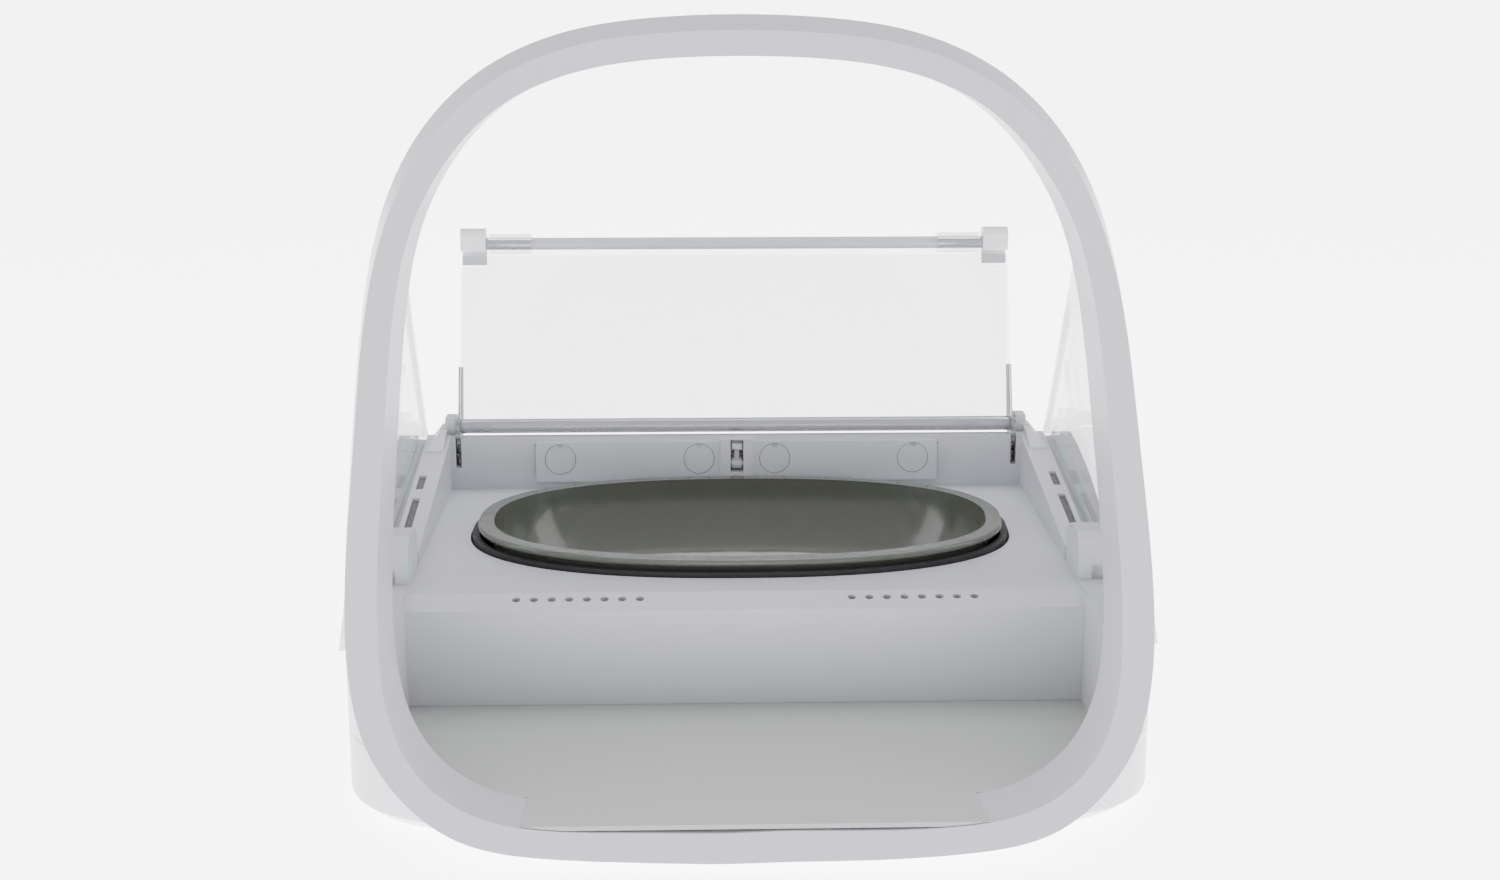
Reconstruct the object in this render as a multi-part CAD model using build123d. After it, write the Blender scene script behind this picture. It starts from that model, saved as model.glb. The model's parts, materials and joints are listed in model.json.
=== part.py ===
from build123d import *
import os
from math import atan2, cos, hypot, pi, radians, sin, tan

# A battery pet feeder: a low body with a reading hoop that leans back over a tray, an oval bowl in a
# soft mat, and a clear two-part lid that folds up behind the bowl.
# Millimetres, +Z up, +Y to the rear. Everything is laid out with y measured back from the hoop's toe,
# and export() moves it so that the origin is under the middle of the footprint.

os.makedirs("parts", exist_ok=True)

# ---------------------------------------------------------------- driving dimensions
HALF_WIDTH = 115.0
DEPTH = 318.0
FOOT_HEIGHT = 2.5             # rubber feet stand this far below the body
WALL = 2.5                    # moulded wall
SPLIT_Z = 22.0                # seam between lower and upper shells
SEAM = 0.25                   # line of shadow at the seams of the casing
GAP = 0.35                    # room between bodies that move past each other

HOOP_LEAN = radians(52.6)     # front face of the hoop, above the horizontal
HOOP_TOE_Z = 3.6
HOOP_DEPTH = 18.0             # front face to rear edge, along y
HOOP_SPLIT = 7.0              # front bezel's share of that depth
HOOP_WALL = 2.0

FLOOR_TOP = 11.2              # tray floor
DECK_Z = 42.0                 # deck around the bowl
TRAY_HALF = 96.3              # half width of the tray in front of the bowl
FRONT_WALL_Y = 89.0           # front face of the wall between tray and deck
STRIP_BACK_Y = 98.0           # back of the sloped strip above that wall
STRIP_DROP = 2.6
LEDGE_FRONT_Y = 127.0
LEDGE_FRONT_Z = 46.0
LEDGE_REAR_Y = 218.0
LEDGE_SLOPE = 0.156           # rise per mm going back
LEDGE_INNER = 97.2
LEDGE_OUTER = 105.2
LEDGE_THICK = 2.6
WALL_FRONT_Y = 214.2          # back wall behind the bowl
WALL_REAR_Y = 218.0
WALL_TOP_Z = 60.0

BOWL_Y = 161.5                # centre of the bowl
BOWL_HALF_X = 82.5
BOWL_HALF_Y = 49.5
BOWL_RIM_Z = 47.0
BOWL_OVAL = 2.35              # 2 is an ellipse, more is squarer
RECESS_HALF_X = 85.0
RECESS_HALF_Y = 51.2
RECESS_FLOOR_Z = 15.0

PIVOT_Y = 222.5               # lid shaft
PIVOT_Z = 62.0
SHAFT_R = 2.5
FOLD_Y = 239.6                # fold rod, with the lid open
FOLD_Z = 122.4
ROD_R = 2.1
LID_HALF = 94.0
KNUCKLE_WALL = 1.4            # of the front panel, round the fold rod
LID_THICK = 2.0
LID_OFFSET = 2.0              # inner face of the rear panel behind the shaft axis
FRONT_PANEL_LENGTH = 65.4
FRONT_PANEL_LEAN = radians(20.5)
FIT = 0.05                    # radial clearance of a running fit

ARM_INNER = 94.0
ARM_OUTER = 95.2
MODULE = 0.8
SECTOR_TEETH = 20
PINION_TEETH = 10
CROSS_TEETH = 11
OUTPUT_TEETH = 22
PINION_ANGLE = radians(12)    # pinion's place below the shaft, turned to the rear
OUTPUT_ANGLE = radians(60)    # output gear's place behind the cross shaft, turned downward

SIDES = (("left", -1), ("right", 1))

# Hoop outlines in its own leaning plane: half width, distance up the slope from the toe.
HOOP_FRONT_OUTER = ((26, 0.3), (51.5, 1.6), (74, 6.5), (88, 17), (96.6, 29), (101.5, 43), (104.3, 62),
                    (105.2, 110), (104.6, 150), (101, 178), (92.7, 202), (74, 225.8), (49, 239.4), (25, 243.8))
HOOP_FRONT_TOE = 0.0
HOOP_FRONT_TOP = 245.0
HOOP_REAR_OUTER = ((30, -0.2), (60, 0.8), (82, 6), (95, 17), (102, 30), (105.5, 44), (107.4, 64), (108.3, 112),
                   (107.6, 153), (104, 182), (95.5, 206.5), (76.5, 230.6), (50.5, 244.2), (25.8, 248.7))
HOOP_REAR_TOE = -0.4
HOOP_REAR_TOP = 249.9
HOOP_FRONT_INNER = ((25, 7.7), (50, 8.4), (69.5, 12.4), (81, 19.8), (88.4, 29.5), (93.4, 43.5), (96, 62),
                    (97.2, 110), (96.8, 150), (93, 179), (85.3, 198.6), (68.6, 219.6), (45, 231.2), (23, 234.9))
HOOP_INNER_TOE = 7.6
HOOP_INNER_TOP = 235.8
INNER_TAPER = 0.985           # the opening narrows this much towards the rear

# Body seen from above: half width, distance back from the toe.
BODY_PLAN = ((30, 17.9), (60, 18.5), (82, 21.6), (95, 28.3), (102, 36.4), (105.5, 44.9), (107.5, 57),
             (108.6, 86), (111.8, 135), (115, 192), (113.2, 235), (103.5, 272), (82, 299), (50, 312.6), (25, 316.9))
BODY_PLAN_FRONT = 17.8
BODY_MIDDLE_Y = 165.0


# ---------------------------------------------------------------- helpers
def export(name, shape):
    moved = Pos(0, -DEPTH / 2, 0) * shape
    moved.label = name
    export_step(moved, f"parts/{name}.step")


def box(x0, x1, y0, y1, z0, z1):
    return Pos((x0 + x1) / 2, (y0 + y1) / 2, (z0 + z1) / 2) * Box(x1 - x0, y1 - y0, z1 - z0)


def cyl_x(x0, x1, y, z, r):
    return Pos((x0 + x1) / 2, y, z) * Rot(0, 90, 0) * Cylinder(r, x1 - x0)


def cyl_y(x, y0, y1, z, r):
    return Pos(x, (y0 + y1) / 2, z) * Rot(90, 0, 0) * Cylinder(r, y1 - y0)


def cyl_z(x, y, z0, z1, r):
    return Pos(x, y, (z0 + z1) / 2) * Cylinder(r, z1 - z0)


def prism_x(points, x0, x1):
    """A (y, z) outline carried along x."""
    face = Plane.YZ.offset(x0) * Polygon(*points, align=None)
    return extrude(face, amount=x1 - x0, dir=(1, 0, 0))


def prism_y(points, y0, y1):
    """An (x, z) outline carried along y."""
    face = Plane.XZ.offset(-y0) * Polygon(*points, align=None)
    return extrude(face, amount=y1 - y0, dir=(0, 1, 0))


def mirrored_spline(half, toe, top):
    """A closed smooth outline from its right half and the two points on the middle line."""
    right = [(0, toe)] + list(half) + [(0, top)]
    left = [(-x, s) for x, s in reversed(half)]
    return Spline(*(right + left), periodic=True)


def blend(front, rear, share):
    return [(a + (c - a) * share, b + (d - b) * share) for (a, b), (c, d) in zip(front, rear)]


def shrink(half, amount, half_width, middle):
    """The outline moved inward by about the amount (outward if negative)."""
    kx = 1 - amount / half_width
    ks = 1 - amount / middle
    return [(x * kx, middle + (s - middle) * ks) for x, s in half]


HOOP_MIDDLE = HOOP_FRONT_TOP / 2


def hoop_plane(depth):
    lean_normal = (0, -sin(HOOP_LEAN), cos(HOOP_LEAN))
    return Plane(origin=(0, depth, HOOP_TOE_Z), x_dir=(1, 0, 0), z_dir=lean_normal)


def hoop_outer(depth, inset):
    share = depth / HOOP_DEPTH
    points = blend([(0, HOOP_FRONT_TOE), *HOOP_FRONT_OUTER, (0, HOOP_FRONT_TOP)],
                   [(0, HOOP_REAR_TOE), *HOOP_REAR_OUTER, (0, HOOP_REAR_TOP)], share)
    points = shrink(points, inset, 105, HOOP_MIDDLE)
    return hoop_plane(depth) * make_face(mirrored_spline(points[1:-1], points[0][1], points[-1][1]))


def hoop_inner(depth, inset):
    taper = 1 + (INNER_TAPER - 1) * depth / HOOP_DEPTH
    points = [(0, HOOP_INNER_TOE), *HOOP_FRONT_INNER, (0, HOOP_INNER_TOP)]
    points = shrink([(x * taper, s) for x, s in points], inset, 97, HOOP_MIDDLE)
    return hoop_plane(depth) * make_face(mirrored_spline(points[1:-1], points[0][1], points[-1][1]))


def hoop_opening(depth0, depth1, inset):
    return loft([hoop_inner(depth0, inset), hoop_inner(depth1, inset)], ruled=True)


def hoop_ring(depth0, depth1, outer_inset, inner_inset):
    """The band of the hoop between two depths, its sides moved in by the two insets."""
    outer = loft([hoop_outer(depth0, outer_inset), hoop_outer(depth1, outer_inset)], ruled=True)
    return outer - hoop_opening(depth0 - 0.5, depth1 + 0.5, inner_inset)


def body_face(inset, z):
    points = [(0, BODY_PLAN_FRONT), *BODY_PLAN, (0, DEPTH)]
    points = shrink(points, inset, HALF_WIDTH, BODY_MIDDLE_Y)
    return Pos(0, 0, z) * make_face(mirrored_spline(points[1:-1], points[0][1], points[-1][1]))


def body_prism(inset, z0, z1):
    return extrude(body_face(inset, z0), amount=z1 - z0)


def oval_face(half_x, half_y, z, power=BOWL_OVAL):
    """A rounded oval, drawn through points of |x/a|^n + |y/b|^n = 1."""
    count = 24
    points = []
    for i in range(count):
        turn = 2 * pi * i / count
        c, s = cos(turn), sin(turn)
        reach = (abs(c) ** power + abs(s) ** power) ** (-1 / power)
        points.append((half_x * reach * c, BOWL_Y + half_y * reach * s))
    return Pos(0, 0, z) * make_face(Spline(*points, periodic=True))


def oval_block(half_x, half_y, z0, z1):
    return extrude(oval_face(half_x, half_y, z0), amount=z1 - z0)


def ledge_z(y):
    return LEDGE_FRONT_Z + (y - LEDGE_FRONT_Y) * LEDGE_SLOPE


def gear(teeth, width, bore, phase=0.0, span=2 * pi):
    """A spur gear along x, centred on the origin, its teeth thin enough to run with play."""
    pitch_r = MODULE * teeth / 2
    root_r = pitch_r - 1.1 * MODULE
    tip_r = pitch_r + 0.8 * MODULE
    root_half = 0.30 * pi * MODULE / pitch_r
    tip_half = 0.13 * pi * MODULE / pitch_r
    points = []
    count = round(teeth * span / (2 * pi))
    for i in range(count):
        middle = phase + 2 * pi * i / teeth
        for r, a in ((root_r, -root_half), (tip_r, -tip_half), (tip_r, tip_half), (root_r, root_half)):
            points.append((r * cos(middle + a), r * sin(middle + a)))
    if span < 2 * pi:
        points.append((0, 0))
    blank = prism_x(points, -width / 2, width / 2)
    if span < 2 * pi:
        blank += cyl_x(-width / 2, width / 2, 0, 0, root_r * 0.55)
    return blank - cyl_x(-width, width, 0, 0, bore)


# ---------------------------------------------------------------- hoop
def hoop_parts():
    front = hoop_ring(0, HOOP_SPLIT, 0, 0)
    front -= hoop_ring(HOOP_WALL, HOOP_SPLIT + 1, HOOP_WALL, -HOOP_WALL)
    export("hoop_front_bezel", front)
    rear = hoop_ring(HOOP_SPLIT, HOOP_DEPTH, 0, 0)
    rear -= hoop_ring(HOOP_SPLIT - 1, HOOP_DEPTH - HOOP_WALL, HOOP_WALL, -HOOP_WALL)
    export("hoop_rear_shell", rear)
    export("antenna_coil", hoop_ring(HOOP_WALL + 1.5, HOOP_SPLIT + 3, HOOP_WALL + 1.2, -HOOP_WALL - 1.2))


# ---------------------------------------------------------------- body shells
def before_hoop(depth):
    """Everything in front of the leaning plane that starts at this depth."""
    run = cos(HOOP_LEAN)
    rise = sin(HOOP_LEAN)
    low = (depth - run * 40, HOOP_TOE_Z - rise * 40)
    high = (depth + run * 300, HOOP_TOE_Z + rise * 300)
    return prism_x([low, high, (-50, high[1]), (-50, low[1])], -150, 150)


HOUSING_TOP = ((WALL_REAR_Y, 58.2), (223, 57.4), (282, 42.5), (300, 36), (312, 29), (319, 20))


def side_profile(drop):
    """The body seen from the side, with its top lowered by drop."""
    top = [(-20, DECK_Z + 0.5), (LEDGE_FRONT_Y - 3, DECK_Z + 0.5), (LEDGE_FRONT_Y - 3, LEDGE_FRONT_Z - 0.5),
           (WALL_FRONT_Y, ledge_z(WALL_FRONT_Y)), (WALL_FRONT_Y, WALL_TOP_Z), (WALL_REAR_Y, WALL_TOP_Z),
           *HOUSING_TOP, (340, 20)]
    lowered = [(y, z - drop) for y, z in top]
    return prism_x([*lowered, (340, -10), (-20, -10)], -200, 200)


SCREW_PLACES = [(s * x, y) for x, y in ((101.2, 106), (103.6, 160), (104.6, 208), (43, 299))
                for _, s in SIDES]
FOOT_PLACES = [(s * x, y) for x, y in ((78, 46), (96, 150), (72, 288)) for _, s in SIDES]
DOOR_Y = (224.0, 281.0)
DOOR_X = (43.0, 97.0)
DOOR_TRAVEL = 14.0


def lower_shell():
    outer = loft([body_face(3, FOOT_HEIGHT), body_face(0, FOOT_HEIGHT + 3), body_face(0, SPLIT_Z)], ruled=True)
    shell = outer - body_prism(WALL, FOOT_HEIGHT + WALL, SPLIT_Z + 1) - before_hoop(HOOP_DEPTH + SEAM)
    bays = []
    cuts = []
    for _, s in SIDES:
        x0, x1 = sorted((s * DOOR_X[0], s * DOOR_X[1]))
        bays.append(box(x0 - 1.5, x1 + 1.5, DOOR_Y[0] - 1.5, DOOR_Y[1] + 1.5, FOOT_HEIGHT + 0.5, 19))
        cuts.append(box(x0, x1, DOOR_Y[0], DOOR_Y[1] - 1.0, FOOT_HEIGHT + WALL, 20))
        cuts.append(box(x0 + 3, x1 - 3, DOOR_Y[0] + 3, DOOR_Y[1] - 3, FOOT_HEIGHT - 1, 20))
        cuts.append(box(x0 - GAP, x1 + GAP, DOOR_Y[0] - GAP - DOOR_TRAVEL, DOOR_Y[1] + GAP,
                        FOOT_HEIGHT - 1, FOOT_HEIGHT + 1.5))
    for x, y in SCREW_PLACES:
        cuts.append(cyl_z(x, y, FOOT_HEIGHT - 1, FOOT_HEIGHT + WALL + 1, 1.6))
        cuts.append(cyl_z(x, y, FOOT_HEIGHT - 1, FOOT_HEIGHT + 1.4, 3.2))
    for x, y in FOOT_PLACES:
        cuts.append(cyl_z(x, y, FOOT_HEIGHT - 1, FOOT_HEIGHT + 0.9, 7.3))
    export("lower_shell", shell + bays - cuts)


PANEL_Y = 311.0               # control panel's outer face, sunk in the rear wall
PANEL_HALF = 30.0
PANEL_Z = (8.5, 27.0)
SLOT_HALF = 2.2               # centre slot in the back wall
SLOT_Z = (47.6, 59.0)
ARM_SLOT = (ARM_INNER - GAP, ARM_OUTER + GAP)
HINGE_FOOT_Z = 56.4           # underside of the hinge blocks
HOLE_FIRST = 30.3
HOLE_PITCH = 5.03


def upper_shell():
    tray = box(-TRAY_HALF, TRAY_HALF, -5, FRONT_WALL_Y, 0, 90)
    deck_space = box(-LEDGE_INNER, LEDGE_INNER, FRONT_WALL_Y - 1, WALL_FRONT_Y, DECK_Z, 90)
    recess = oval_block(RECESS_HALF_X, RECESS_HALF_Y, RECESS_FLOOR_Z, DECK_Z + 1)
    grown_tray = box(-TRAY_HALF - WALL, TRAY_HALF + WALL, -5, FRONT_WALL_Y + WALL, 0, 90)
    grown_deck = box(-LEDGE_INNER - WALL, LEDGE_INNER + WALL, FRONT_WALL_Y, WALL_REAR_Y, DECK_Z - WALL, 90)
    grown_recess = oval_block(RECESS_HALF_X + WALL, RECESS_HALF_Y + WALL, RECESS_FLOOR_Z - WALL, DECK_Z)
    under = LEDGE_THICK + 2.2
    slope = [(y, ledge_z(y) - under) for y in (LEDGE_FRONT_Y, LEDGE_REAR_Y)]
    grown_ledges = prism_x([*slope, (LEDGE_REAR_Y, 90), (LEDGE_FRONT_Y, 90)], -HALF_WIDTH, HALF_WIDTH)

    front = before_hoop(HOOP_DEPTH + SEAM)
    outer = (body_prism(0, SPLIT_Z + SEAM, 75) & side_profile(0)) - front
    void = body_prism(WALL, 0, 75) & side_profile(WALL)
    void = void - [grown_tray, grown_deck, grown_recess, grown_ledges]
    inner_limit = body_prism(WALL + 0.4, 0, 75)
    walls = box(-TRAY_HALF - WALL, TRAY_HALF + WALL, 20, FRONT_WALL_Y + WALL, FLOOR_TOP + 0.1, DECK_Z)
    walls = (walls & inner_limit) - front
    strip = prism_x([(FRONT_WALL_Y - 1, DECK_Z - STRIP_DROP), (FRONT_WALL_Y, DECK_Z - STRIP_DROP),
                     (STRIP_BACK_Y, DECK_Z), (STRIP_BACK_Y, DECK_Z + 5), (FRONT_WALL_Y - 1, DECK_Z + 5)],
                    -TRAY_HALF, TRAY_HALF)
    shell = outer + [walls, grown_recess]
    shell = shell - [void, tray & inner_limit, deck_space, recess, strip]

    cuts = [box(-SLOT_HALF, SLOT_HALF, WALL_FRONT_Y - 2, WALL_REAR_Y + 4, *SLOT_Z),
            box(-PANEL_HALF, PANEL_HALF, PANEL_Y - 0.6, DEPTH + 5, *PANEL_Z),
            box(2 - PANEL_HALF, PANEL_HALF - 2, PANEL_Y - 12, DEPTH + 5, PANEL_Z[0] + 2, PANEL_Z[1] - 2),
            box(-3.4, 3.4, WALL_REAR_Y + 0.5, 233, 45, 55.7)]
    for _, s in SIDES:
        cuts.append(ledge_seat(s))
        x0, x1 = sorted((s * ARM_SLOT[0], s * ARM_SLOT[1]))
        cuts.append(box(x0, x1, WALL_FRONT_Y - 2, 233, 49.5, 80))
        cuts.append(box(x0 - 0.6, x1 + 0.6, WALL_REAR_Y + 1, 233, 45, 80))
        cuts.append(box(*sorted((s * ARM_OUTER, s * (LEDGE_INNER + 1))), WALL_REAR_Y, LEDGE_REAR_Y + 10,
                        HINGE_FOOT_Z, 80))
        for i in range(8):
            x = s * (HOLE_FIRST + HOLE_PITCH * i)
            cuts.append(Pos(x, 95, 40) * Rot(16, 0, 0) * Cylinder(1.25, 12))
    for x in (-40, 0, 40):
        cuts.append(cyl_z(x, BOWL_Y, RECESS_FLOOR_Z - 6, RECESS_FLOOR_Z + 1, 3))
    pillars = [cyl_z(x, y, FOOT_HEIGHT + WALL + 0.1, pillar_top(y), 3.3) for x, y in SCREW_PLACES]
    bores = [cyl_z(x, y, FOOT_HEIGHT + WALL, 18, 1.45) for x, y in SCREW_PLACES]
    export("upper_shell", shell - cuts + pillars - bores)


def pillar_top(y):
    """Where a screw pillar runs into the moulding above it."""
    if y > WALL_REAR_Y:
        return 34.5
    return DECK_Z - 1 if y < LEDGE_FRONT_Y else ledge_z(y) - LEDGE_THICK - 1


def ledge_seat(s):
    """Room for a ledge strip and the shield that stands beside it."""
    x0, x1 = sorted((s * LEDGE_INNER, s * (LEDGE_OUTER + 3)))
    outline = [(LEDGE_FRONT_Y - 22, DECK_Z - 0.2), (LEDGE_FRONT_Y, DECK_Z - 0.2),
               (LEDGE_FRONT_Y, LEDGE_FRONT_Z - LEDGE_THICK),
               (LEDGE_REAR_Y, ledge_z(LEDGE_REAR_Y) - LEDGE_THICK), (LEDGE_REAR_Y, HINGE_FOOT_Z),
               (LEDGE_REAR_Y + 10, HINGE_FOOT_Z), (LEDGE_REAR_Y + 10, 90), (LEDGE_FRONT_Y - 22, 90)]
    return prism_x(outline, x0, x1)


def floor_plate():
    tongue = hoop_opening(0.2, HOOP_DEPTH + 3, SEAM) & box(-80, 80, 0, 26, FLOOR_TOP - 0.9, FLOOR_TOP)
    main = body_prism(WALL + 0.6, FLOOR_TOP - 1.4, FLOOR_TOP) - before_hoop(HOOP_DEPTH + 0.4)
    main = main & box(-TRAY_HALF - 1, TRAY_HALF + 1, 0, FRONT_WALL_Y + 1.5, 0, 30)
    export("tray_floor", main + tongue)


# ---------------------------------------------------------------- ledges, shields and hinge blocks
def ledge_parts():
    for name, s in SIDES:
        x0, x1 = sorted((s * LEDGE_INNER, s * LEDGE_OUTER))
        y0, y1 = LEDGE_FRONT_Y, LEDGE_REAR_Y
        outline = [(y0, ledge_z(y0)), (y1, ledge_z(y1)), (y1, ledge_z(y1) - LEDGE_THICK),
                   (y0, ledge_z(y0) - LEDGE_THICK)]
        strip = prism_x(outline, x0, x1)
        for pocket0, pocket1 in ((172.5, 183.5), (143.5, 165.5)):
            a, b = sorted((s * 101.4, s * 103.8))
            strip -= prism_x([(pocket0, ledge_z(pocket0) - 1.6), (pocket1, ledge_z(pocket1) - 1.6),
                              (pocket1, 80), (pocket0, 80)], a, b)
        export(f"ledge_{name}", strip)
        lens = None
        for pocket0, pocket1 in ((172.9, 183.1), (143.9, 165.1)):
            a, b = sorted((s * 101.6, s * 103.6))
            piece = prism_x([(pocket0, ledge_z(pocket0) - 1.6), (pocket1, ledge_z(pocket1) - 1.6),
                             (pocket1, ledge_z(pocket1) - 0.8), (pocket0, ledge_z(pocket0) - 0.8)], a, b)
            lens = piece if lens is None else lens + piece
        export(f"sensor_window_{name}", lens)

        a, b = sorted((s * LEDGE_INNER, s * LEDGE_OUTER))
        hump = prism_x([(105, DECK_Z - 0.2), (105, 50.5), (106.5, 54), (110, 55.8), (118, 56), (122, 54.5),
                        (124.5, 51.5), (125, DECK_Z - 0.2)], a, b)
        lip = sorted((s * (LEDGE_INNER + 4), s * 106))
        hump -= box(*lip, 104, 107.5, DECK_Z - 1, 47)
        export(f"front_boss_{name}", hump)


SHIELD_FOOT_X = 105.85
SHIELD_LEAN = 0.049           # the shields lean in this much per mm of height
SHIELD_THICK = 1.5


def shields():
    front_y = HOOP_DEPTH + 0.55
    cot = 1 / tan(HOOP_LEAN)
    for name, s in SIDES:
        def at(z):
            return s * (SHIELD_FOOT_X - (z - 56) * SHIELD_LEAN)

        foot_z = DECK_Z + 0.5
        apex_z = 151.0
        toe_y = front_y + (foot_z - HOOP_TOE_Z) * cot
        apex_y = front_y + (apex_z - HOOP_TOE_Z) * cot
        rear_z = ledge_z(LEDGE_REAR_Y) - LEDGE_THICK
        corners = [(toe_y, foot_z), (LEDGE_FRONT_Y - 21.9, foot_z), (LEDGE_FRONT_Y - 21.9, DECK_Z - 0.1),
                   (LEDGE_FRONT_Y - 0.1, DECK_Z - 0.1), (LEDGE_FRONT_Y, LEDGE_FRONT_Z - LEDGE_THICK),
                   (LEDGE_REAR_Y - 2, rear_z - 0.3), (LEDGE_REAR_Y - 2, rear_z + 2), (apex_y + 1.5, apex_z),
                   (apex_y, apex_z)]
        slab = prism_x(corners, *sorted((s * 90, s * 112)))
        sheet = prism_y([(at(20), 20), (at(170), 170), (at(170) + s * SHIELD_THICK, 170),
                         (at(20) + s * SHIELD_THICK, 20)], 0, 320)
        shield = slab & sheet
        rib_line = [(LEDGE_REAR_Y - 2, rear_z + 2), (apex_y + 1.5, apex_z), (apex_y - 1.5, apex_z - 1),
                    (LEDGE_REAR_Y - 5, rear_z + 2)]
        rib = prism_x(rib_line, *sorted((s * 90, s * 112)))
        rib_sheet = prism_y([(at(20) - s * 0.9, 20), (at(170) - s * 0.9, 170), (at(170) + s * 0.5, 170),
                             (at(20) + s * 0.5, 20)], 0, 320)
        export(f"side_shield_{name}", shield + (rib & rib_sheet))


def hinge_blocks():
    for name, s in SIDES:
        a = ARM_OUTER + GAP + 0.3
        block = box(*sorted((s * a, s * 99.4)), PIVOT_Y - 3.6, PIVOT_Y + 3.6, HINGE_FOOT_Z, PIVOT_Z + 3.6)
        cap = [(s * 99.3, HINGE_FOOT_Z), (s * 99.3, 62.4), (s * 101.2, 62), (s * 104.8, 57.6),
               (s * 104.8, HINGE_FOOT_Z)]
        hump = prism_y(cap, 219.0, PIVOT_Y + 4.5)
        saddle = prism_y([(s * 98.4, 55), (s * 98.4, 62.2), (s * 101, 61.8), (s * 104.6, 58), (s * 104.6, 55)],
                         LEDGE_REAR_Y - 16, 219.0)
        slope = prism_x([(200, ledge_z(200) + 0.02), (219.2, ledge_z(219.2)), (219.2, 62.4), (213, 62.4),
                         (202, ledge_z(202) + 0.6)], *sorted((s * 98, s * 106)))
        shape = block + hump + (saddle & slope)
        shape -= cyl_x(*sorted((s * 90, s * (99.4 - 1))), PIVOT_Y, PIVOT_Z, SHAFT_R + FIT)
        export(f"hinge_block_{name}", shape)


# ---------------------------------------------------------------- back wall fittings
COVER_Y = WALL_FRONT_Y - 1.3
COVER_Z = (44.6, 58.4)
PLUG_PLACES = (-60.0, -12.9, 12.9, 60.0)
PLUG_Z = 52.4
PLUG_R = 5.3


def drive_cover():
    cover = box(-68.4, 68.4, COVER_Y, WALL_FRONT_Y, *COVER_Z)
    cover = fillet(cover.edges().filter_by(Axis.Y), 1.5)
    cover += box(-5.6, 5.6, COVER_Y - 0.6, WALL_FRONT_Y, COVER_Z[0], 59.4)
    cover -= box(-SLOT_HALF, SLOT_HALF, COVER_Y - 2, WALL_FRONT_Y + 1, *SLOT_Z)
    plugs = None
    for x in PLUG_PLACES:
        cover -= cyl_y(x, COVER_Y - 1, WALL_FRONT_Y + 1, PLUG_Z, PLUG_R)
        plug = cyl_y(x, COVER_Y + 0.15, WALL_FRONT_Y, PLUG_Z, PLUG_R - 0.2)
        plug -= box(x - 0.9, x + 0.9, COVER_Y - 1, COVER_Y + 0.9, PLUG_Z + PLUG_R - 1.4, PLUG_Z + PLUG_R)
        plugs = plug if plugs is None else plugs + plug
    export("drive_cover", cover)
    export("screw_plugs", plugs)


CATCH_Y = 216.4
CATCH_Z = 50.0


def catch():
    lever = box(-0.8, 0.8, CATCH_Y - 1.2, CATCH_Y + 1.2, CATCH_Z - 1.4, 57.6)
    lever += box(-1.7, 1.7, CATCH_Y - 3.4, CATCH_Y + 1.2, 55.6, 57.6)
    lever += cyl_x(-1.7, 1.7, CATCH_Y, CATCH_Z, 1.9)
    lever -= cyl_x(-3, 3, CATCH_Y, CATCH_Z, 0.8 + FIT)
    export("catch_lever", lever)
    pin = cyl_x(-SLOT_HALF, SLOT_HALF, CATCH_Y, CATCH_Z, 0.8)
    export("catch_pin", pin)


# ---------------------------------------------------------------- bowl and mat
def bowl_and_mat():
    rim = oval_block(BOWL_HALF_X, BOWL_HALF_Y, BOWL_RIM_Z - 2.2, BOWL_RIM_Z)
    rim = fillet(rim.edges(), 0.9)
    outside = loft([oval_face(65, 33.5, 19.2), oval_face(71.5, 39.5, 22.5), oval_face(77.4, 45.2, 34),
                    oval_face(79.8, 47, BOWL_RIM_Z - 1.5)])
    inside = loft([oval_face(62, 30.5, 21.6), oval_face(69, 37.2, 24.6), oval_face(75, 42.8, 35),
                   oval_face(77.6, 44.8, BOWL_RIM_Z + 0.1)])
    export("bowl", rim + outside - inside)

    mat_x = RECESS_HALF_X - 0.6
    mat_y = RECESS_HALF_Y - 0.6
    mat = oval_block(mat_x, mat_y, RECESS_FLOOR_Z + 0.1, 43.4)
    mat -= loft([oval_face(66.6, 35, RECESS_FLOOR_Z + 3.2), oval_face(74, 41.8, 21.5),
                 oval_face(79.2, 46.8, 33), oval_face(82.2, 49.2, 43.5)])
    export("bowl_mat", mat)


# ---------------------------------------------------------------- lid
LEAN = atan2(FOLD_Y - PIVOT_Y, FOLD_Z - PIVOT_Z)
REAR_LENGTH = hypot(FOLD_Y - PIVOT_Y, FOLD_Z - PIVOT_Z)


def from_pivot(along, outward):
    """A (y, z) place on the rear panel, from the shaft axis towards the fold rod."""
    return (PIVOT_Y + along * sin(LEAN) + outward * cos(LEAN), PIVOT_Z + along * cos(LEAN) - outward * sin(LEAN))


def from_fold(along, outward):
    """A (y, z) place on the front panel, from the fold rod down to its free edge."""
    lean = FRONT_PANEL_LEAN
    return (FOLD_Y - along * sin(lean) - outward * cos(lean), FOLD_Z - along * cos(lean) + outward * sin(lean))


def rear_inner(along):
    """Distance of the rear panel's inner face from the line between shaft and rod."""
    return LID_OFFSET * (1 - along / REAR_LENGTH)


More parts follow.
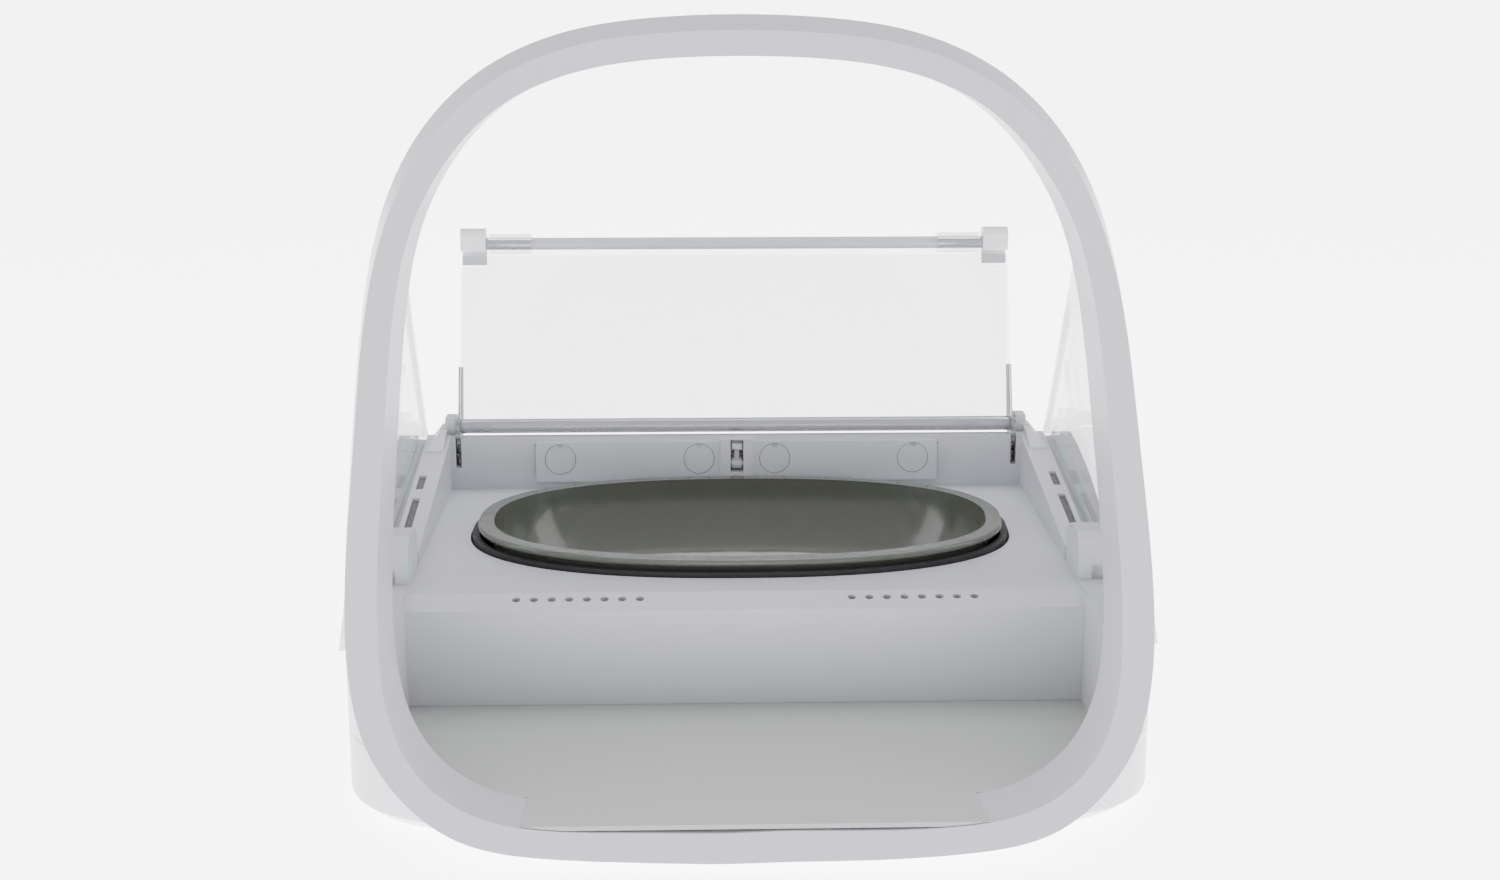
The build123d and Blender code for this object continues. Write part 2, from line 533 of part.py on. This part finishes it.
def lid_parts():
    low, high = 2.4, REAR_LENGTH - ROD_R - KNUCKLE_WALL - 0.6
    rear = prism_x([from_pivot(low, rear_inner(low)), from_pivot(high, rear_inner(high)),
                    from_pivot(high, rear_inner(high) + LID_THICK), from_pivot(low, rear_inner(low) + LID_THICK)],
                   -LID_HALF, LID_HALF)
    export("lid_rear_panel", rear)

    near, far = ROD_R + 0.5, FRONT_PANEL_LENGTH
    lip = far - 1.8
    front = prism_x([from_fold(near, 0.2), from_fold(lip, 0.2), from_fold(lip, -1.2), from_fold(far, -1.2),
                     from_fold(far, LID_THICK), from_fold(near, LID_THICK)], -LID_HALF, LID_HALF)
    for _, s in SIDES:
        knuckle = cyl_x(*sorted((s * 70, s * 84.6)), FOLD_Y, FOLD_Z, ROD_R + KNUCKLE_WALL)
        web = prism_x([from_fold(0, 0.2), from_fold(near + 1, 0.2), from_fold(near + 1, LID_THICK),
                       from_fold(0, LID_THICK + 0.6)], *sorted((s * 70, s * 84.6)))
        front += knuckle + web
        front -= box(*sorted((s * 85.0, s * 95)), 230, 250, FOLD_Z - 7.6, FOLD_Z + 8)
    front -= cyl_x(-100, 100, FOLD_Y, FOLD_Z, ROD_R + FIT)
    export("lid_front_panel", front)

    export("fold_rod", cyl_x(-LID_HALF + 0.6, LID_HALF - 0.6, FOLD_Y, FOLD_Z, ROD_R))
    for name, s in SIDES:
        knob = box(*sorted((s * 85.6, s * (LID_HALF + 0.2))), FOLD_Y - 3.4, FOLD_Y + 3.6,
                   FOLD_Z - 2.6, FOLD_Z + 5.2)
        knob = fillet(knob.edges().filter_by(Axis.X), 2.2)
        foot = prism_x([from_pivot(REAR_LENGTH - 7, rear_inner(55) + LID_THICK),
                        from_pivot(REAR_LENGTH, LID_THICK),
                        from_pivot(REAR_LENGTH, LID_THICK + 1.4),
                        from_pivot(REAR_LENGTH - 7, rear_inner(55) + LID_THICK + 1.4)],
                       *sorted((s * 85.6, s * LID_HALF)))
        knob = knob + foot
        knob -= cyl_x(*sorted((s * 80, s * (LID_HALF - 0.6))), FOLD_Y, FOLD_Z, ROD_R)
        export(f"fold_knob_{name}", knob)


CROSS_DISTANCE = MODULE * (SECTOR_TEETH + PINION_TEETH) / 2 + 0.15
CROSS_Y = PIVOT_Y + CROSS_DISTANCE * sin(PINION_ANGLE)
CROSS_Z = PIVOT_Z - CROSS_DISTANCE * cos(PINION_ANGLE)
OUTPUT_DISTANCE = MODULE * (CROSS_TEETH + OUTPUT_TEETH) / 2 + 0.15
OUTPUT_Y = CROSS_Y + OUTPUT_DISTANCE * cos(OUTPUT_ANGLE)
OUTPUT_Z = CROSS_Z - OUTPUT_DISTANCE * sin(OUTPUT_ANGLE)


def lid_arms():
    to_pinion = atan2(CROSS_Z - PIVOT_Z, CROSS_Y - PIVOT_Y)
    width = ARM_OUTER - ARM_INNER
    tooth = 2 * pi / SECTOR_TEETH
    for name, s in SIDES:
        x0, x1 = sorted((s * ARM_INNER, s * ARM_OUTER))
        sector = gear(SECTOR_TEETH, width, SHAFT_R, to_pinion - 7 * tooth, 9 * tooth)
        arm = Pos((x0 + x1) / 2, PIVOT_Y, PIVOT_Z) * sector
        arm += cyl_x(x0, x1, PIVOT_Y, PIVOT_Z, 4.6)
        lever = prism_x([from_pivot(0, -2), from_pivot(20.5, -0.6), from_pivot(20.5, 4.2), from_pivot(0, 4.5)],
                        x0, x1)
        arm = arm + lever - cyl_x(x0 - 1, x1 + 1, PIVOT_Y, PIVOT_Z, SHAFT_R)
        export(f"lid_arm_{name}", arm)
    export("lid_shaft", cyl_x(-98.2, 98.2, PIVOT_Y, PIVOT_Z, SHAFT_R))


# ---------------------------------------------------------------- drive inside the rear housing
def drive():
    to_shaft = atan2(PIVOT_Z - CROSS_Z, PIVOT_Y - CROSS_Y)
    pinion_phase = to_shaft + pi / PINION_TEETH
    for name, s in SIDES:
        pinion = gear(PINION_TEETH, 2.2, 1.5, pinion_phase)
        hub = cyl_x(-2.6, 2.6, 0, 0, 2.6) - cyl_x(-4, 4, 0, 0, 1.5)
        export(f"pinion_{name}", Pos(s * 94.4, CROSS_Y, CROSS_Z) * (pinion + Pos(-s * 1.6, 0, 0) * hub))
    export("cross_shaft", cyl_x(-97.5, 97.5, CROSS_Y, CROSS_Z, 1.5))

    cross_gear = gear(CROSS_TEETH, 5, 1.5, -OUTPUT_ANGLE)
    export("cross_gear", Pos(0, CROSS_Y, CROSS_Z) * cross_gear)
    output_gear = gear(OUTPUT_TEETH, 4, 1.5, pi - OUTPUT_ANGLE + pi / OUTPUT_TEETH)
    export("output_gear", Pos(0, OUTPUT_Y, OUTPUT_Z) * output_gear)
    export("output_shaft", cyl_x(-2.6, 11, OUTPUT_Y, OUTPUT_Z, 1.5))

    gearbox = box(4.2, 18, OUTPUT_Y - 10, OUTPUT_Y + 12, OUTPUT_Z - 12, OUTPUT_Z + 8)
    gearbox = fillet(gearbox.edges().filter_by(Axis.X), 2)
    gearbox -= cyl_x(3, 12, OUTPUT_Y, OUTPUT_Z, 1.5 + FIT)
    export("gearbox_housing", gearbox)
    motor = cyl_x(18, 41, OUTPUT_Y + 1, OUTPUT_Z - 2, 9.6) + cyl_x(41, 43.5, OUTPUT_Y + 1, OUTPUT_Z - 2, 3)
    export("drive_motor", motor)
    for name, s in SIDES:
        x0, x1 = sorted((s * 86.8, s * 89.4))
        post = box(x0, x1, CROSS_Y - 4, CROSS_Y + 4, CROSS_Z - 4, CROSS_Z + 3.2)
        export(f"shaft_bearing_{name}", post - cyl_x(x0 - 1, x1 + 1, CROSS_Y, CROSS_Z, 1.5 + FIT))
    bracket = box(4.2, 40, OUTPUT_Y - 8, OUTPUT_Y + 10, FOOT_HEIGHT + WALL, FOOT_HEIGHT + WALL + 2)
    for x in (6, 32):
        bracket += box(x, x + 4, OUTPUT_Y - 6, OUTPUT_Y + 8, FOOT_HEIGHT + WALL, OUTPUT_Z - 12)
    export("motor_bracket", bracket)


# ---------------------------------------------------------------- electronics and power
CELL_R = 13.0
CELL_Z = FOOT_HEIGHT + 3.2 + CELL_R
CELL_YS = (238.0, 265.6)


def power():
    for name, s in SIDES:
        for i, y in enumerate(CELL_YS):
            cell = cyl_x(*sorted((s * 45.6, s * 93.4)), y, CELL_Z, CELL_R)
            cell += cyl_x(*sorted((s * 93.4, s * 94.9)), y, CELL_Z, 3.2)
            export(f"cell_{name}_{i + 1}", cell)
        contacts = None
        for y in CELL_YS:
            plate = box(*sorted((s * 95.0, s * 95.5)), y - 6, y + 6, 8, 24)
            plate += box(*sorted((s * 44.4, s * 44.9)), y - 6, y + 6, 8, 24)
            contacts = plate if contacts is None else contacts + plate
        export(f"battery_contacts_{name}", contacts)
        door = box(*sorted((s * DOOR_X[0], s * DOOR_X[1])), *DOOR_Y, FOOT_HEIGHT - 0.9, FOOT_HEIGHT + 1.1)
        for i in range(5):
            y = DOOR_Y[0] + 8 + 3 * i
            groove = sorted((s * 60, s * 80))
            door -= box(*groove, y, y + 1.2, FOOT_HEIGHT - 2, FOOT_HEIGHT - 0.5)
        export(f"battery_door_{name}", door)


BUTTON_XS = (("training_button", -18.0), ("pairing_button", 0.0), ("lid_button", 18.0))
BUTTON_Z = 17.8


def controls():
    panel = box(0.2 - PANEL_HALF, PANEL_HALF - 0.2, PANEL_Y - 0.5, PANEL_Y + 1.5,
                PANEL_Z[0] + 0.2, PANEL_Z[1] - 0.2)
    panel = fillet(panel.edges().filter_by(Axis.Y), 3)
    for name, x in BUTTON_XS:
        panel -= cyl_y(x, PANEL_Y - 2, PANEL_Y + 3, BUTTON_Z, 4.5 + GAP)
        cap = cyl_y(x, PANEL_Y - 2.6, PANEL_Y + 3.4, BUTTON_Z, 4.5)
        cap = fillet(cap.edges().group_by(Axis.Y)[-1], 0.8)
        cap += cyl_y(x, PANEL_Y - 3.6, PANEL_Y - 2.6, BUTTON_Z, 5.6)
        export(name, cap)
    export("control_panel", panel)

    switches = None
    for _, x in BUTTON_XS:
        body = box(x - 3, x + 3, PANEL_Y - 9, PANEL_Y - 6.2, BUTTON_Z - 3, BUTTON_Z + 3)
        body += cyl_y(x, PANEL_Y - 6.2, PANEL_Y - 5.2, BUTTON_Z, 1.7)
        switches = body if switches is None else switches + body
    export("tact_switches", switches)
    export("switch_board", box(-26, 26, PANEL_Y - 10.6, PANEL_Y - 9, 11, 24.6))

    board = box(-36, 36, 248, 296, 26, 27.6)
    for _, s in SIDES:
        board -= cyl_z(s * 32, 252, 25, 29, 1.6)
    board += box(-20, -6, 258, 272, 27.6, 29.4)
    board += box(8, 16, 262, 276, 27.6, 31)
    board += cyl_z(24, 280, 27.6, 34, 3.6)
    export("main_board", board)


# ---------------------------------------------------------------- fasteners and feet
def small_parts():
    screws = None
    for x, y in SCREW_PLACES:
        screw = cyl_z(x, y, FOOT_HEIGHT + 0.1, FOOT_HEIGHT + 1.4, 2.9) + cyl_z(x, y, FOOT_HEIGHT + 1.4, 17, 1.4)
        screw -= box(x - 0.5, x + 0.5, y - 2, y + 2, FOOT_HEIGHT - 1, FOOT_HEIGHT + 0.8)
        screw -= box(x - 2, x + 2, y - 0.5, y + 0.5, FOOT_HEIGHT - 1, FOOT_HEIGHT + 0.8)
        screws = screw if screws is None else screws + screw
    export("casing_screws", screws)
    feet = None
    for x, y in FOOT_PLACES:
        foot = cyl_z(x, y, 0, FOOT_HEIGHT + 0.9, 7)
        foot = fillet(foot.edges().group_by(Axis.Z)[0], 0.8)
        feet = foot if feet is None else feet + foot
    export("rubber_feet", feet)


hoop_parts()
lower_shell()
upper_shell()
floor_plate()
ledge_parts()
shields()
hinge_blocks()
drive_cover()
catch()
bowl_and_mat()
lid_parts()
lid_arms()
drive()
power()
controls()
small_parts()
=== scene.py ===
import bpy
import json
from math import radians
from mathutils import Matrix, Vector


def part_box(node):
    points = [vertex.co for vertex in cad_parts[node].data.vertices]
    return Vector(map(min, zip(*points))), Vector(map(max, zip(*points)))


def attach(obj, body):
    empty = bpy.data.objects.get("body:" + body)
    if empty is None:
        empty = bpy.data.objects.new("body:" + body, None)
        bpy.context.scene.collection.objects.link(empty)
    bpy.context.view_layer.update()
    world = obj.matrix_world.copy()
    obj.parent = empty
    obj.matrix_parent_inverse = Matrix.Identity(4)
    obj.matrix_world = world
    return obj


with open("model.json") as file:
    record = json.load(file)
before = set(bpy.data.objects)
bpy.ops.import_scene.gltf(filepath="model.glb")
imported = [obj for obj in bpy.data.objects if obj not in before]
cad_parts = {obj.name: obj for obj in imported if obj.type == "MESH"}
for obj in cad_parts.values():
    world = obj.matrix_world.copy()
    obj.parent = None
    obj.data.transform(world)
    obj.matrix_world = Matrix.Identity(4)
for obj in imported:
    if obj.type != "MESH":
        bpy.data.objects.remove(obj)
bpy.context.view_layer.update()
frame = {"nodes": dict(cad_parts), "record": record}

NODES = frame["nodes"]
RECORD = frame["record"]
SLOT_OF = {part["node"]: part["material_slot"] for part in RECORD["subparts"]}


# ---------------------------------------------------------------- materials
def new_material(name):
    made = bpy.data.materials.new(name)
    made.use_nodes = True
    tree = made.node_tree
    shader = tree.nodes["Principled BSDF"]
    return made, tree, shader


def grain(tree, shader, scale, strength, distance):
    """A fine moulded texture, in object coordinates."""
    place = tree.nodes.new("ShaderNodeTexCoord")
    noise = tree.nodes.new("ShaderNodeTexNoise")
    noise.inputs["Scale"].default_value = scale
    noise.inputs["Detail"].default_value = 2.0
    bump = tree.nodes.new("ShaderNodeBump")
    bump.inputs["Strength"].default_value = strength
    bump.inputs["Distance"].default_value = distance
    tree.links.new(place.outputs["Object"], noise.inputs["Vector"])
    tree.links.new(noise.outputs["Fac"], bump.inputs["Height"])
    tree.links.new(bump.outputs["Normal"], shader.inputs["Normal"])
    return noise


def uneven_gloss(tree, shader, low, high, scale):
    """Roughness that wanders a little over the surface."""
    place = tree.nodes.new("ShaderNodeTexCoord")
    noise = tree.nodes.new("ShaderNodeTexNoise")
    noise.inputs["Scale"].default_value = scale
    noise.inputs["Detail"].default_value = 3.0
    spread = tree.nodes.new("ShaderNodeMapRange")
    spread.inputs["To Min"].default_value = low
    spread.inputs["To Max"].default_value = high
    tree.links.new(place.outputs["Object"], noise.inputs["Vector"])
    tree.links.new(noise.outputs["Fac"], spread.inputs["Value"])
    tree.links.new(spread.outputs["Result"], shader.inputs["Roughness"])


def plastic(name, colour, low, high, texture=(900.0, 0.05, 0.0002), coat=0.0):
    made, tree, shader = new_material(name)
    shader.inputs["Base Color"].default_value = (*colour, 1.0)
    shader.inputs["IOR"].default_value = 1.49
    if coat:
        shader.inputs["Coat Weight"].default_value = coat
        shader.inputs["Coat Roughness"].default_value = 0.06
    uneven_gloss(tree, shader, low, high, 60.0)
    grain(tree, shader, *texture)
    return made


def metal(name, colour, roughness):
    made, tree, shader = new_material(name)
    shader.inputs["Base Color"].default_value = (*colour, 1.0)
    shader.inputs["Metallic"].default_value = 1.0
    shader.inputs["Roughness"].default_value = roughness
    grain(tree, shader, 1500.0, 0.05, 0.0001)
    return made


def clear_sheet(name, tint, gloss, edge):
    """Thin clear polycarbonate: mostly see-through, with a sheen that grows towards its edges."""
    made = bpy.data.materials.new(name)
    made.use_nodes = True
    tree = made.node_tree
    tree.nodes.clear()
    out = tree.nodes.new("ShaderNodeOutputMaterial")
    through = tree.nodes.new("ShaderNodeBsdfTransparent")
    through.inputs["Color"].default_value = (*tint, 1.0)
    shine = tree.nodes.new("ShaderNodeBsdfGlossy")
    shine.inputs["Roughness"].default_value = 0.05
    shine.inputs["Color"].default_value = (0.9, 0.9, 0.9, 1.0)
    facing = tree.nodes.new("ShaderNodeLayerWeight")
    facing.inputs["Blend"].default_value = edge
    share = tree.nodes.new("ShaderNodeMath")
    share.operation = "MULTIPLY_ADD"
    share.inputs[1].default_value = 0.55
    share.inputs[2].default_value = gloss
    mix = tree.nodes.new("ShaderNodeMixShader")
    tree.links.new(facing.outputs["Fresnel"], share.inputs[0])
    tree.links.new(share.outputs["Value"], mix.inputs["Fac"])
    tree.links.new(through.outputs["BSDF"], mix.inputs[1])
    tree.links.new(shine.outputs["BSDF"], mix.inputs[2])
    tree.links.new(mix.outputs["Shader"], out.inputs["Surface"])
    return made


MATERIALS = {
    "hoop_white": plastic("hoop_white", (0.50, 0.50, 0.555), 0.30, 0.38),
    "white_shell": plastic("white_shell", (0.53, 0.535, 0.575), 0.30, 0.40),
    "tray_floor": plastic("tray_floor", (0.43, 0.45, 0.43), 0.42, 0.52, (1400.0, 0.12, 0.0003)),
    "cover_white": plastic("cover_white", (0.55, 0.555, 0.60), 0.34, 0.42),
    "knob_white": plastic("knob_white", (0.62, 0.63, 0.65), 0.35, 0.45),
    "fold_grey": plastic("fold_grey", (0.42, 0.43, 0.45), 0.38, 0.46),
    "arm_grey": plastic("arm_grey", (0.30, 0.31, 0.32), 0.45, 0.55),
    "bowl_grey": plastic("bowl_grey", (0.088, 0.094, 0.078), 0.12, 0.20, (300.0, 0.03, 0.0002), coat=0.35),
    "mat_dark": plastic("mat_dark", (0.022, 0.022, 0.023), 0.55, 0.68, (1800.0, 0.15, 0.0002)),
    "sensor_dark": plastic("sensor_dark", (0.10, 0.10, 0.105), 0.15, 0.20),
    "button_grey": plastic("button_grey", (0.26, 0.27, 0.29), 0.45, 0.55),
    "door_white": plastic("door_white", (0.66, 0.66, 0.69), 0.45, 0.55),
    "gear_white": plastic("gear_white", (0.78, 0.78, 0.72), 0.40, 0.50),
    "gearbox_black": plastic("gearbox_black", (0.02, 0.02, 0.022), 0.50, 0.60),
    "cell_wrap": plastic("cell_wrap", (0.03, 0.04, 0.07), 0.20, 0.28),
    "board_green": plastic("board_green", (0.01, 0.09, 0.03), 0.30, 0.40),
    "switch_black": plastic("switch_black", (0.01, 0.01, 0.01), 0.40, 0.50),
    "foot_rubber": plastic("foot_rubber", (0.04, 0.04, 0.04), 0.70, 0.80),
    "steel": metal("steel", (0.55, 0.55, 0.57), 0.32),
    "motor_can": metal("motor_can", (0.50, 0.51, 0.53), 0.38),
    "contact_nickel": metal("contact_nickel", (0.65, 0.63, 0.56), 0.20),
    "coil_copper": metal("coil_copper", (0.62, 0.28, 0.12), 0.35),
    "clear_shield": clear_sheet("clear_shield", (0.93, 0.935, 0.945), 0.03, 0.45),
    "clear_lid": clear_sheet("clear_lid", (0.94, 0.944, 0.952), 0.03, 0.45),
}

EDGES = {
    "hoop_front_bezel": 0.0011,
    "hoop_rear_shell": 0.0010,
    "upper_shell": 0.0007,
    "lower_shell": 0.0006,
    "ledge_left": 0.0003,
    "ledge_right": 0.0003,
    "front_boss_left": 0.0010,
    "front_boss_right": 0.0010,
    "hinge_block_left": 0.0005,
    "hinge_block_right": 0.0005,
    "drive_cover": 0.0003,
    "lid_front_panel": 0.0003,
    "lid_rear_panel": 0.0003,
    "side_shield_left": 0.0002,
    "side_shield_right": 0.0002,
    "battery_door_left": 0.0003,
    "battery_door_right": 0.0003,
    "control_panel": 0.0004,
    "bowl_mat": 0.0006,
}

for name, node in NODES.items():
    node.data.materials.clear()
    node.data.materials.append(MATERIALS[SLOT_OF[name]])
    if name in EDGES:
        softened = node.modifiers.new("Bevel", "BEVEL")
        softened.width = EDGES[name]
        softened.segments = 3
        softened.limit_method = "ANGLE"
        softened.angle_limit = radians(38)
        softened.harden_normals = False


# ---------------------------------------------------------------- painted shadow lines at the seams
# The shadow lines round the screw plugs and at the ends of the drive cover.
SHADOW_LINE_WIDTH = 0.00022
INNER_PLUG_SHARE = 0.215      # an inner plug's distance from the middle, as a share of an outer plug's


def lay_shadow_line(name, made):
    made.name = name
    made.data.name = name
    # Painted shadow: the dark sensor material stands in for the shade that falls in the gaps.
    made.data.materials.append(MATERIALS["sensor_dark"])
    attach(made, "base")


plug_low, plug_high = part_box("screw_plugs")
cover_low, cover_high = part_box("drive_cover")
plug_radius = (plug_high.z - plug_low.z) / 2
outer_plug = plug_high.x - plug_radius
for side in (-1, 1):
    for place, x in (("outer", outer_plug), ("inner", outer_plug * INNER_PLUG_SHARE)):
        centre = (side * x, plug_low.y, (plug_low.z + plug_high.z) / 2)
        bpy.ops.mesh.primitive_torus_add(location=centre, rotation=(radians(90), 0, 0), major_segments=64,
                                         minor_segments=8, major_radius=plug_radius + 0.0001,
                                         minor_radius=SHADOW_LINE_WIDTH / 2)
        lay_shadow_line(f"plug_shadow_line_{place}_{'left' if side < 0 else 'right'}", bpy.context.object)
    tall = (cover_high.z - cover_low.z) * 0.8
    centre = (side * cover_high.x, plug_low.y, (cover_low.z + cover_high.z) / 2)
    bpy.ops.mesh.primitive_cube_add(size=1, location=centre, scale=(SHADOW_LINE_WIDTH, SHADOW_LINE_WIDTH, tall))
    lay_shadow_line(f"cover_shadow_line_{'left' if side < 0 else 'right'}", bpy.context.object)

# ---------------------------------------------------------------- floor and light
def stage_material(name, colour, roughness):
    made, tree, shader = new_material(name)
    shader.inputs["Base Color"].default_value = (*colour, 1.0)
    shader.inputs["Roughness"].default_value = roughness
    shader.inputs["Specular IOR Level"].default_value = 0.0
    shader.inputs["Emission Color"].default_value = (1.0, 1.0, 1.0, 1.0)
    shader.inputs["Emission Strength"].default_value = 5.5
    return made


def plane(name, size, place, turn, material):
    half = size / 2
    mesh = bpy.data.meshes.new(name)
    mesh.from_pydata([(-half, -half, 0), (half, -half, 0), (half, half, 0), (-half, half, 0)], [], [(0, 1, 2, 3)])
    mesh.materials.append(material)
    made = bpy.data.objects.new(name, mesh)
    made.location = place
    made.rotation_euler = turn
    bpy.context.scene.collection.objects.link(made)
    return made


white = stage_material("studio_white", (0.93, 0.93, 0.93), 0.7)
plane("floor", 60.0, (0, 0, 0), (0, 0, 0), white)

world = bpy.data.worlds.new("studio")
bpy.context.scene.world = world
world.use_nodes = True
sky = world.node_tree.nodes["Background"]
sky.inputs["Color"].default_value = (1.0, 1.0, 1.0, 1.0)
sky.inputs["Strength"].default_value = 1.0


def lamp(name, energy, size, place, aim):
    data = bpy.data.lights.new(name, "AREA")
    data.energy = energy
    data.shape = "RECTANGLE"
    data.size, data.size_y = size
    made = bpy.data.objects.new(name, data)
    made.location = place
    made.rotation_euler = (Vector(aim) - Vector(place)).to_track_quat("-Z", "Y").to_euler()
    bpy.context.scene.collection.objects.link(made)
    return made


lamp("key", 9.0, (0.9, 0.6), (0.1, 0.35, 1.25), (0, 0, 0.08))
lamp("left", 4.0, (0.5, 0.9), (-1.1, -0.2, 0.5), (0, 0, 0.08))
lamp("right", 4.0, (0.5, 0.9), (1.1, -0.2, 0.5), (0, 0, 0.08))

# ---------------------------------------------------------------- camera
lens = bpy.data.cameras.new("camera")
lens.lens = 49.0
lens.sensor_width = 36.0
lens.clip_start = 0.01
lens.clip_end = 50.0
camera = bpy.data.objects.new("camera", lens)
camera.location = (-0.0144, -0.6207, 0.2221)
camera.rotation_euler = (radians(90 - 13.6), 0.0, radians(-1.6))
bpy.context.scene.collection.objects.link(camera)
bpy.context.scene.camera = camera
